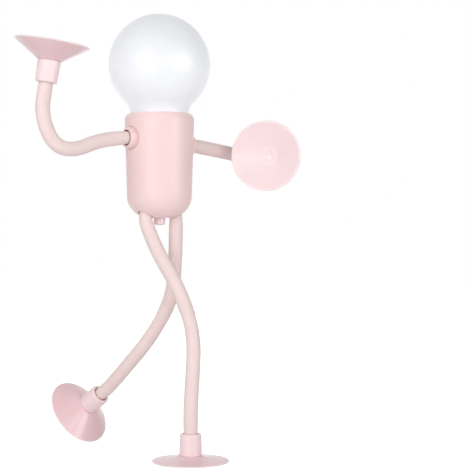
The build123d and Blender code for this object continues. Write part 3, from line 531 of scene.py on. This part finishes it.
def painted_boss_shade_group():
    """Painted shade at a boss that runs along Axis from Centre: in the crease at its root and inside its hole."""
    name = "Boss Shade"
    if name in bpy.data.node_groups:
        return bpy.data.node_groups[name]
    group = bpy.data.node_groups.new(name, "ShaderNodeTree")
    inlet, outlet = group_sockets(
        group,
        {"Colour": "Color", "Crease": "Color", "Hole": "Color", "Centre": "Vector", "Axis": "Vector"},
        {"Colour": "Color"})
    place = group.nodes.new("ShaderNodeTexCoord").outputs["Object"]
    axis = inlet.outputs["Axis"]
    offset = calculate(group, VECTOR, "SUBTRACT", place, inlet.outputs["Centre"]).outputs["Vector"]
    along = calculate(group, VECTOR, "DOT_PRODUCT", offset, axis).outputs["Value"]
    square = calculate(group, VECTOR, "CROSS_PRODUCT", offset, axis).outputs["Vector"]
    away = calculate(group, VECTOR, "LENGTH", square).outputs["Value"]
    apart = calculate(group, NUMBER, "SUBTRACT", away, BOSS_R + CREASE_HALF / 2).outputs["Value"]
    apart = calculate(group, NUMBER, "ABSOLUTE", apart).outputs["Value"]
    outside = calculate(group, NUMBER, "GREATER_THAN", along, 0).outputs["Value"]
    # Painted shade: a band of darker colour round the boss's root, and a dark colour inside its hole
    crease = calculate(
        group, NUMBER, "MULTIPLY", fade(group, apart, 0, CREASE_HALF),
        fade(group, along, BOSS_ROOT, BOSS_ROOT + CREASE_HALF)).outputs["Value"]
    hole = fade(group, away, HOLE_R, HOLE_R + HOLE_EDGE)
    shaded = inlet.outputs["Colour"]
    for share, tone in ((crease, "Crease"), (hole, "Hole")):
        here = calculate(group, NUMBER, "MULTIPLY", share, outside).outputs["Value"]
        shaded = mix_colours(group, here, shaded, inlet.outputs[tone])
    group.links.new(shaded, outlet.inputs["Colour"])
    return group


def moulded_material(name, tone, tint, *, cloud, cloud_scale, grain_scale, smooth, rough, bump, **sockets):
    """A material on the moulded surface group: its tones, grain and gloss, and plain shader values."""
    material = bpy.data.materials.new(name)
    material.use_nodes = True
    tree = material.node_tree
    shader = tree.nodes["Principled BSDF"]
    for socket, value in sockets.items():
        shader.inputs[socket.replace("_", " ")].default_value = value
    finish = place_group(tree, moulded_group())
    values = {"Colour": (*tone, 1), "Tint": (*tint, 1), "Cloud": cloud, "Cloud Scale": cloud_scale,
              "Grain Scale": grain_scale, "Smooth": smooth, "Rough": rough}
    for socket, value in values.items():
        finish.inputs[socket].default_value = value
    relief = shade_node(tree, "ShaderNodeBump", Strength=bump, Distance=GRAIN_DEPTH)
    tree.links.new(finish.outputs["Colour"], shader.inputs["Base Color"])
    tree.links.new(finish.outputs["Roughness"], shader.inputs["Roughness"])
    tree.links.new(finish.outputs["Height"], relief.inputs["Height"])
    tree.links.new(relief.outputs["Normal"], shader.inputs["Normal"])
    return material


def cup_material(colours):
    """Glossy silicone: the moulded surface, with painted light that makes its hollow paler, and palest at its thin
    rim.
    """
    material = moulded_material(
        "Cup Silicone", colours.cup, colours.cup_tint, cloud=0.5, cloud_scale=70, grain_scale=1500,
        smooth=0.15, rough=0.21, bump=0.08, Specular_IOR_Level=0.25, Subsurface_Weight=0.2,
        Subsurface_Scale=1.5 * MM, Subsurface_Radius=(1.0, 0.55, 0.5))
    tree = material.node_tree
    shader = tree.nodes["Principled BSDF"]
    base = shader.inputs["Base Color"].links[0].from_socket
    # The hollow side gets a paler pink as painted light, the thin rim the palest pink of the silicone
    marks = ((INSIDE_MARK, colours.cup_inside_painted_light, 0), (RIM_MARK, colours.cup_rim, RIM_BEGIN_SHARE))
    for mark_name, tone, begin in marks:
        layer = tree.nodes.new("ShaderNodeAttribute")
        layer.attribute_name = mark_name
        marked = place_group(tree, marked_tone_group())
        marked.inputs["Marked"].default_value = (*tone, 1)
        marked.inputs["Begin"].default_value = begin
        tree.links.new(layer.outputs["Fac"], marked.inputs["Mark"])
        tree.links.new(base, marked.inputs["Colour"])
        base = marked.outputs["Colour"]
    tree.links.new(base, shader.inputs["Base Color"])
    return material


def seen_share(tree):
    """One for rays from the camera and for mirrored and see-through ones, none for all others."""
    rays = tree.nodes.new("ShaderNodeLightPath")
    total = rays.outputs["Is Camera Ray"]
    for name in ("Is Glossy Ray", "Is Transmission Ray"):
        total = calculate(tree, NUMBER, "MAXIMUM", total, rays.outputs[name]).outputs["Value"]
    return total


def dress(piece, material):
    """Gives a new piece its material."""
    piece.data.materials.append(material)


class LAMP_OT_globe(bpy.types.Operator):
    """Builds the milk-white diffuser: a ball that runs through a hollow curve into its neck."""

    bl_idname = "lamp.globe"
    bl_label = "Globe"

    def execute(self, context):
        sizes, colours = context.scene.lamp_sizes, context.scene.lamp_colours
        ball, wall, blend, neck = sizes.globe_radius, sizes.globe_wall, sizes.globe_blend, sizes.neck_radius
        reach = neck + blend
        drop = -math.sqrt((ball + blend) ** 2 - reach ** 2)
        lean = math.degrees(math.atan2(drop, reach))
        foot = GLOBE_LOW.z - (GLOBE_HIGH.z - ball)
        outline = profile(
            arc((0, 0), ball, 90, lean, GLOBE_STEPS),
            arc((reach, drop), blend, 180 + lean, 180),
            (neck, foot), (neck - wall, foot),
            arc((reach, drop), blend + wall, 180, 180 + lean),
            arc((0, 0), ball - wall, lean, 90, GLOBE_STEPS))
        outline[[0, -1], 0] = 0
        globe = lathe("globe", outline, (*BODY_AXIS, GLOBE_HIGH.z - ball), UP)
        milk = moulded_material(
            "Globe Milk", colours.globe, colours.globe_tint, cloud=0.3, cloud_scale=45, grain_scale=900,
            smooth=0.3, rough=0.4, bump=0.05, Specular_IOR_Level=0.35, Subsurface_Weight=0.25,
            Subsurface_Scale=3 * MM, Subsurface_Radius=(1.0, 1.0, 1.0), Emission_Strength=1.0)
        # Painted light: the diffuser's faint glow, shaped by height
        self.glow(milk, colours, GLOBE_HIGH.z - ball * (1 + PAINTED_GLOW_DROP_SHARE))
        dress(globe, milk)
        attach(globe, "torso")
        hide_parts("globe_diffuser")
        return {"FINISHED"}

    def glow(self, material, colours, peak):
        """Painted glow that evens out the diffuser's shading, brightest at the peak's height, fainter at its top
        and neck.
        """
        tree = material.node_tree
        place = tree.nodes.new("ShaderNodeTexCoord").outputs["Object"]
        height = calculate(tree, VECTOR, "DOT_PRODUCT", place, UP).outputs["Value"]
        apart = calculate(tree, NUMBER, "SUBTRACT", height, peak).outputs["Value"]
        apart = calculate(tree, NUMBER, "ABSOLUTE", apart).outputs["Value"]
        share = fade(tree, apart, 0, GLOBE_HIGH.z - peak)
        light = mix_colours(tree, share, (*colours.painted_globe_top_glow, 1), (*colours.painted_globe_glow, 1))
        tree.links.new(light, tree.nodes["Principled BSDF"].inputs["Emission Color"])


class LAMP_OT_body(bpy.types.Operator):
    """Gives the capsule body its satin moulded pink, with painted shade in the creases and holes of its arm
    bosses.
    """

    bl_idname = "lamp.body"
    bl_label = "Body"

    def execute(self, context):
        colours = context.scene.lamp_colours
        satin = moulded_material(
            "Body Satin", colours.body, colours.body_tint, cloud=0.35, cloud_scale=55, grain_scale=1800,
            smooth=0.3, rough=0.36, bump=0.08, Specular_IOR_Level=0.14)
        shell = frame["nodes"]["body_shell"]
        self.paint_boss_shade(satin, shell, colours)
        shell.material_slots[0].material = satin
        return {"FINISHED"}

    def paint_boss_shade(self, material, shell, colours):
        """Paints shade into the crease and into the hole of both arm bosses."""
        tree = material.node_tree
        shader = tree.nodes["Principled BSDF"]
        base = shader.inputs["Base Color"].links[0].from_socket
        inward = shell.matrix_world.inverted()
        for way, height in ((-1, LEFT_ARM), (1, RIGHT_ARM)):
            boss = place_group(tree, painted_boss_shade_group())
            boss.inputs["Crease"].default_value = (*colours.painted_crease_shade, 1)
            boss.inputs["Hole"].default_value = (*colours.painted_hole_shade, 1)
            boss.inputs["Centre"].default_value = inward @ Vector(body_point(0, 0, height))
            boss.inputs["Axis"].default_value = inward.to_3x3() @ Vector(way * BODY_RIGHT)
            tree.links.new(base, boss.inputs["Colour"])
            base = boss.outputs["Colour"]
        tree.links.new(base, shader.inputs["Base Color"])


class LAMP_OT_sleeves(bpy.types.Operator):
    """Builds the soft sleeves: a round tube along each limb's route, in three lengths."""

    bl_idname = "lamp.sleeves"
    bl_label = "Limb sleeves"

    def execute(self, context):
        sizes, colours = context.scene.lamp_sizes, context.scene.lamp_colours
        matt = moulded_material(
            "Sleeve Matt", colours.sleeve, colours.sleeve_tint, cloud=0.4, cloud_scale=90, grain_scale=2200,
            smooth=0.55, rough=0.68, bump=0.2, Specular_IOR_Level=0.1)
        for limb in LIMBS:
            self.sleeve(limb, sizes, matt)
        return {"FINISHED"}

    def sleeve(self, limb, sizes, material):
        """One limb's tube, cut halfway between its joints, so that each length holds one joint."""
        line = limb.centre_line()
        along = unit(np.gradient(line, axis=0))
        steady = np.linalg.svd(along)[2][-1]
        rings = self.rings(line, along, steady, sizes)
        bends = [np.argmin(np.linalg.norm(line - joint["pos_m"], axis=1)) for joint in limb.joints]
        cuts = [0, (bends[0] + bends[1]) // 2, (bends[1] + bends[2]) // 2, len(line) - 1]
        parts = ("upper", "lower", "tip")
        covered = ["limb_root_sleeves", *(f"{limb.name}_sleeve_{part}" for part in parts)]
        for i, joint in enumerate(limb.joints):
            stretch = slice(cuts[i], cuts[i + 1] + 1)
            name = joint["name"].replace(limb.name, f"{limb.name}_sleeve")
            piece = closed_skin(name, rings[stretch], line[cuts[i]], line[cuts[i + 1]])
            dress(piece, material)
            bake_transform(piece)
            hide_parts(covered[i], covered[i + 1])

    def rings(self, line, along, steady, sizes):
        """Rings square to the line: centre + r (cos a e + sin a f), with r drawn in inside the sockets."""
        e = unit(np.cross(along, steady))
        f = np.cross(e, along)
        a = np.linspace(0, 2 * np.pi, TUBE_SIDES, endpoint=False)
        round_way = np.cos(a)[None, :, None] * e[:, None] + np.sin(a)[None, :, None] * f[:, None]
        from_root = np.arange(len(line)) * RING_STEP
        share = np.clip(np.minimum(from_root / ROOT_NIP, from_root[::-1] / TIP_NIP), 0, 1)
        radius = sizes.sleeve_radius - sizes.sleeve_nip * (1 - share ** 2 * (3 - 2 * share))
        return line[:, None] + radius[:, None, None] * round_way


class LAMP_OT_collars(bpy.types.Operator):
    """Builds the hard rings between sleeves and cups, with a rounded mouth and sockets at both ends."""

    bl_idname = "lamp.collars"
    bl_label = "Collars"

    def execute(self, context):
        sizes, colours = context.scene.lamp_sizes, context.scene.lamp_colours
        pale = moulded_material(
            "Collar Pale", colours.collar, colours.collar_tint, cloud=0.35, cloud_scale=80,
            grain_scale=1800, smooth=0.34, rough=0.44, bump=0.06, Specular_IOR_Level=0.25)
        outer, high, bevel = sizes.collar_radius, sizes.collar_length, sizes.collar_round
        socket_r = sizes.sleeve_radius + SOCKET_GAP
        web_high, web_low = high - Limb.COLLAR_SOCKET - CORE_TAIL, STEM_LENGTH + BOND_GAP
        mouth_edge = socket_r + LIP_ROUND
        outline = profile(
            (0, web_low), (STEM_R + BOND_GAP, web_low), (STEM_R + BOND_GAP, 0), (outer - FOOT_ROUND, 0),
            arc((outer - FOOT_ROUND, FOOT_ROUND), FOOT_ROUND, -90, 0),
            arc((outer - sizes.collar_taper - bevel, high - bevel), bevel, 0, 90),
            arc((mouth_edge, high - LIP_ROUND), LIP_ROUND, 90, 180),
            (socket_r, high - Limb.COLLAR_SOCKET), (CORE_HOLE_R, high - Limb.COLLAR_SOCKET),
            (CORE_HOLE_R, web_high), (0, web_high))
        for limb in LIMBS:
            foot = limb.rim - limb.aim * limb.cup_depth
            collar = lathe(f"{limb.name}_end_collar", outline, foot, -limb.aim)
            dress(collar, pale)
            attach(collar, limb.end)
            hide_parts(f"{limb.name}_collar")
        return {"FINISHED"}


class LAMP_OT_cups(bpy.types.Operator):
    """Builds the suction cups: a cone that flares from its stem, a round lip, a roof and a dimple."""

    bl_idname = "lamp.cups"
    bl_label = "Suction cups"

    def execute(self, context):
        sizes, colours = context.scene.lamp_sizes, context.scene.lamp_colours
        silicone = cup_material(colours)
        free = self.outline(
            sizes.cup_radius, sizes.cup_lip, FREE_DEPTH, FREE_LAND, FREE_FLARE, FREE_ROOF, FREE_DIMPLE)
        pressed = self.outline(
            sizes.pressed_radius, sizes.cup_lip, PRESSED_DEPTH, PRESSED_LAND, PRESSED_FLARE, PRESSED_ROOF,
            PRESSED_DIMPLE)
        for limb in LIMBS:
            is_free = limb.cup_depth == FREE_DEPTH
            outline, rim_r = (free, sizes.cup_radius) if is_free else (pressed, sizes.pressed_radius)
            cup = lathe(f"{limb.name}_suction_cup", outline, limb.rim, -limb.aim)
            out = np.clip((outline[1:-1, 0] - CROWN_R) / (rim_r - CROWN_R), 0, 1)
            hollow = np.arange(len(out)) > np.argmax(out)
            mark(cup, RIM_MARK, np.r_[np.repeat(out, ROUND_SIDES), 0, 0])
            mark(cup, INSIDE_MARK, np.r_[np.repeat(hollow, ROUND_SIDES), 0, 1])
            dress(cup, silicone)
            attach(cup, limb.end)
            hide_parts(f"{limb.name}_cup")
        return {"FINISHED"}

    def outline(self, rim_r, lip, depth, land, flare, roof, dimple):
        """Stem, crown, hollow flare and cone outside, round lip, then land, roof and dimple inside."""
        pull, cone_start = np.array(flare)
        lip_middle = np.array((rim_r - lip, lip))
        fall = unit(lip_middle - cone_start)
        square = np.array((-fall[1], fall[0]))
        lip_angle = math.degrees(math.atan2(square[1], square[0]))
        inner_edge = np.array((rim_r - land, 0))
        roof_side, roof_z = np.array(roof[0]), roof[1]
        rise = (roof_z - roof_side[1]) / (roof_side[1] - inner_edge[1])
        roof_corner = roof_side + rise * (roof_side - inner_edge)
        peak_z = roof_z + dimple
        return profile(
            (0, depth + STEM_LENGTH), (STEM_R, depth + STEM_LENGTH), (STEM_R, depth),
            bend((CROWN_R, depth), pull, cone_start),
            straight(cone_start, lip_middle + lip * square),
            arc(lip_middle, lip, lip_angle, -90),
            straight(inner_edge, roof_side),
            bend(roof_side, roof_corner, (DIMPLE_R, roof_z)),
            bend((DIMPLE_R, roof_z), (DIMPLE_R * DIMPLE_SHARE, peak_z), (0, peak_z)))


class LAMP_OT_button(bpy.types.Operator):
    """Builds the push button under the body, with a slightly crowned face and a flange inside."""

    bl_idname = "lamp.button"
    bl_label = "Push button"

    def execute(self, context):
        sizes, colours = context.scene.lamp_sizes, context.scene.lamp_colours
        low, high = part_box("button_cap")
        tall, radius = high.z - low.z, sizes.button_radius
        flange = width_of("button_cap", 0) / 2
        outline = profile(
            bend((0, 0), (radius * CROWN_SHARE, 0), (radius - BUTTON_ROUND, BUTTON_CROWN)),
            arc((radius - BUTTON_ROUND, BUTTON_CROWN + BUTTON_ROUND), BUTTON_ROUND, -90, 0),
            (radius, tall - FLANGE_T), (flange, tall - FLANGE_T), (flange, tall), (0, tall))
        button = lathe("push_button", outline, (*BODY_AXIS, low.z), UP)
        satin = moulded_material(
            "Button Satin", colours.button, colours.button_tint, cloud=0.3, cloud_scale=120,
            grain_scale=2000, smooth=0.34, rough=0.44, bump=0.06)
        dress(button, satin)
        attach(button, "button")
        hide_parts("button_cap")
        return {"FINISHED"}


# Finishes of the pieces inside: two tones, the least and the greatest roughness, and whether they are metal
INNER_FINISHES = {
    "core_steel": ("B4B6B9", "8C8E92", 0.28, 0.45, True),
    "screw_steel": ("C6C7C9", "9A9CA0", 0.22, 0.38, True),
    "socket_shell": ("C9CACC", "A3A5A8", 0.25, 0.4, True),
    "carrier_white": ("F0F0EE", "E0E0DC", 0.42, 0.55, False),
    "cradle_white": ("ECECEA", "DADAD6", 0.45, 0.58, False),
    "board_white": ("F4F4F2", "E4E6E4", 0.32, 0.45, False),
    "board_green": ("2E6B45", "1F5434", 0.35, 0.5, False),
    "chip_yellow": ("F2D56B", "E0B94A", 0.3, 0.45, False),
    "chip_black": ("232426", "151617", 0.4, 0.55, False),
    "cell_wrap": ("3F7FB8", "2F6699", 0.3, 0.42, False),
    "lead_red": ("C23A34", "A32C28", 0.4, 0.55, False),
}


class LAMP_OT_inside(bpy.types.Operator):
    """Finishes the pieces inside: cores, screws, carrier, boards, chips, cell, cradle, leads and socket."""

    bl_idname = "lamp.inside"
    bl_label = "Inside pieces"

    def execute(self, context):
        finishes = {slot: self.finish(slot, *values) for slot, values in INNER_FINISHES.items()}
        for node in frame["nodes"].values():
            place = node.material_slots[0]
            place.material = finishes.get(place.material.name, place.material)
        return {"FINISHED"}

    def finish(self, slot, tone, tint, smooth, rough, metal):
        """The finish for one of the record's slots, named after it."""
        name = slot.replace("_", " ").title()
        return moulded_material(
            name, linear(tone), linear(tint), cloud=0.6, cloud_scale=160, grain_scale=1600, smooth=smooth,
            rough=rough, bump=0.1, Metallic=float(metal))


class LAMP_OT_stage(bpy.types.Operator):
    """Sets out the white floor, four soft lights, two that show as a sheen, even light and the camera."""

    bl_idname = "lamp.stage"
    bl_label = "Stage"

    def execute(self, context):
        stage = context.scene.lamp_stage
        self.floor(stage)
        self.lamp("Front Left Lamp", stage.front_left, FRONT_LEFT, SOFT_SIZE).visible_glossy = False
        self.lamp("Front Right Lamp", stage.front_right, FRONT_RIGHT, SOFT_SIZE)
        self.lamp("High Left Lamp", stage.high_left, HIGH_LEFT, SOFT_SIZE).visible_glossy = False
        self.lamp("Back Lamp", stage.back, BACK, SOFT_SIZE).visible_glossy = False
        self.lamp("Left Strip", stage.left_strip, LEFT_STRIP, STRIP_SIZE).visible_diffuse = False
        self.lamp("Right Strip", stage.right_strip, RIGHT_STRIP, STRIP_SIZE).visible_diffuse = False
        self.world(context.scene, stage)
        self.camera(context.scene)
        context.scene.view_settings.view_transform = "Standard"
        return {"FINISHED"}

    def floor(self, stage):
        """A wide square of white paper that the lamp stands on."""
        half = FLOOR_SIDE / 2
        corners = [(-half, -half, 0), (half, -half, 0), (half, half, 0), (-half, half, 0)]
        mesh = bpy.data.meshes.new("floor")
        mesh.from_pydata(corners, [], [(0, 1, 2, 3)])
        floor = bpy.data.objects.new("floor", mesh)
        bpy.context.scene.collection.objects.link(floor)
        mesh.materials.append(self.paper(stage))

    def paper(self, stage):
        """White paper with a faint mottle, and a share of white of its own where it is seen or mirrored."""
        material = moulded_material(
            "Floor Paper", linear(PAPER), linear(PAPER_TINT), cloud=0.5, cloud_scale=6, grain_scale=90,
            smooth=0.75, rough=0.85, bump=0.05, Specular_IOR_Level=0, Emission_Color=(1, 1, 1, 1))
        tree = material.node_tree
        glow = calculate(tree, NUMBER, "MULTIPLY", seen_share(tree), stage.floor_glow)
        tree.links.new(glow.outputs["Value"], tree.nodes["Principled BSDF"].inputs["Emission Strength"])
        return material

    def lamp(self, name, power, way, size):
        """A flat light aimed at the body, from away (sin a cos b, -cos a cos b, sin b), a right and b up."""
        light = bpy.data.lights.new(name, "AREA")
        light.shape = "RECTANGLE"
        light.size, light.size_y = size
        light.energy = power
        a, b = np.radians(way)
        place = LAMP_AWAY * Vector((np.sin(a) * np.cos(b), -np.cos(a) * np.cos(b), np.sin(b)))
        carrier = bpy.data.objects.new(name, light)
        carrier.location = Vector((*BODY_AXIS, LAMP_AIM)) + place
        carrier.rotation_euler = (-place).to_track_quat("-Z", "Y").to_euler()
        bpy.context.scene.collection.objects.link(carrier)
        return carrier

    def world(self, scene, stage):
        """White where it is seen or mirrored, and an even softer light on everything else."""
        world = bpy.data.worlds.new("Surroundings")
        world.use_nodes = True
        tree = world.node_tree
        background = tree.nodes["Background"]
        background.inputs["Color"].default_value = (1, 1, 1, 1)
        level = shade_node(tree, "ShaderNodeMapRange", From_Max=1.0, To_Min=stage.ambient, To_Max=1.0)
        tree.links.new(seen_share(tree), level.inputs["Value"])
        tree.links.new(level.outputs["Result"], background.inputs["Strength"])
        scene.world = world

    def camera(self, scene):
        """The photograph's view: where its camera stood and how it was turned."""
        lens = bpy.data.cameras.new("View")
        lens.lens = CAMERA_LENS
        carrier = bpy.data.objects.new("View", lens)
        carrier.location = (BODY_AXIS.x, BODY_AXIS.y - CAMERA_BACK, CAMERA_HIGH)
        carrier.rotation_euler = Euler((math.pi / 2 - CAMERA_PITCH, 0, -CAMERA_YAW))
        scene.collection.objects.link(carrier)
        scene.camera = carrier


class LAMP_PT_panel(bpy.types.Panel):
    """Lists the lamp's pieces, sizes, colours and light."""

    bl_idname = "LAMP_PT_panel"
    bl_label = "Suction Cup Lamp"
    bl_space_type = "VIEW_3D"
    bl_region_type = "UI"
    bl_category = "Lamp"

    def draw(self, context):
        for operator in OPERATORS:
            self.layout.operator(operator.bl_idname)
        for group in (context.scene.lamp_sizes, context.scene.lamp_colours, context.scene.lamp_stage):
            box = self.layout.box()
            for name in group.__annotations__:
                box.prop(group, name)


OPERATORS = (LAMP_OT_globe, LAMP_OT_body, LAMP_OT_sleeves, LAMP_OT_collars, LAMP_OT_cups, LAMP_OT_button,
             LAMP_OT_inside, LAMP_OT_stage)
CLASSES = (LampSizes, LampColours, LampStage, *OPERATORS, LAMP_PT_panel)


def register():
    """Adds the lamp's properties, operators and panel to Blender."""
    for cls in CLASSES:
        bpy.utils.register_class(cls)
    bpy.types.Scene.lamp_sizes = PointerProperty(type=LampSizes)
    bpy.types.Scene.lamp_colours = PointerProperty(type=LampColours)
    bpy.types.Scene.lamp_stage = PointerProperty(type=LampStage)


def unregister():
    """Takes them out again."""
    del bpy.types.Scene.lamp_stage
    del bpy.types.Scene.lamp_colours
    del bpy.types.Scene.lamp_sizes
    for cls in reversed(CLASSES):
        bpy.utils.unregister_class(cls)


def main():
    """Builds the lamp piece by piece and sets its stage."""
    register()
    bpy.ops.lamp.globe()
    bpy.ops.lamp.body()
    bpy.ops.lamp.sleeves()
    bpy.ops.lamp.collars()
    bpy.ops.lamp.cups()
    bpy.ops.lamp.button()
    bpy.ops.lamp.inside()
    bpy.ops.lamp.stage()


if __name__ == "__main__":
    main()
